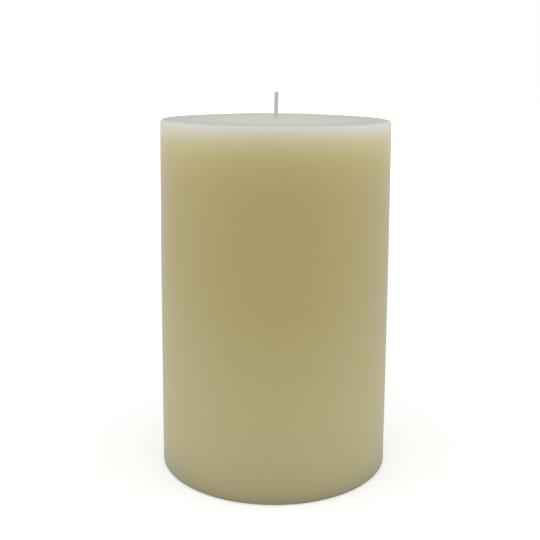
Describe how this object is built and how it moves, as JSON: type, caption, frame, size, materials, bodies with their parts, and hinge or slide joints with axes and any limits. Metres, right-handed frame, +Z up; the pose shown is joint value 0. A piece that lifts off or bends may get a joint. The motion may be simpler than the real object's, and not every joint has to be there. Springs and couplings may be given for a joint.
{
  "type": "pillar candle",
  "caption": "Round free-standing pillar candle in plain ivory wax, with a braided cotton wick standing out of its flat top.",
  "frame": {"origin": "centre of the base, on the surface that the candle stands on", "axes": "+Z up along the candle's axis, -Y towards the front as pictured, +X to the right of that view"},
  "size_m": [0.1, 0.1, 0.1638],
  "materials": {
    "wax": "satin ivory wax, faintly translucent",
    "cotton": "waxed white cotton braid",
    "tinplate": "bright tinned sheet"
  },
  "bodies": {
    "root": {"wax_body": "wax", "wick": "cotton", "wick_sustainer": "tinplate"}
  },
  "joints": []
}
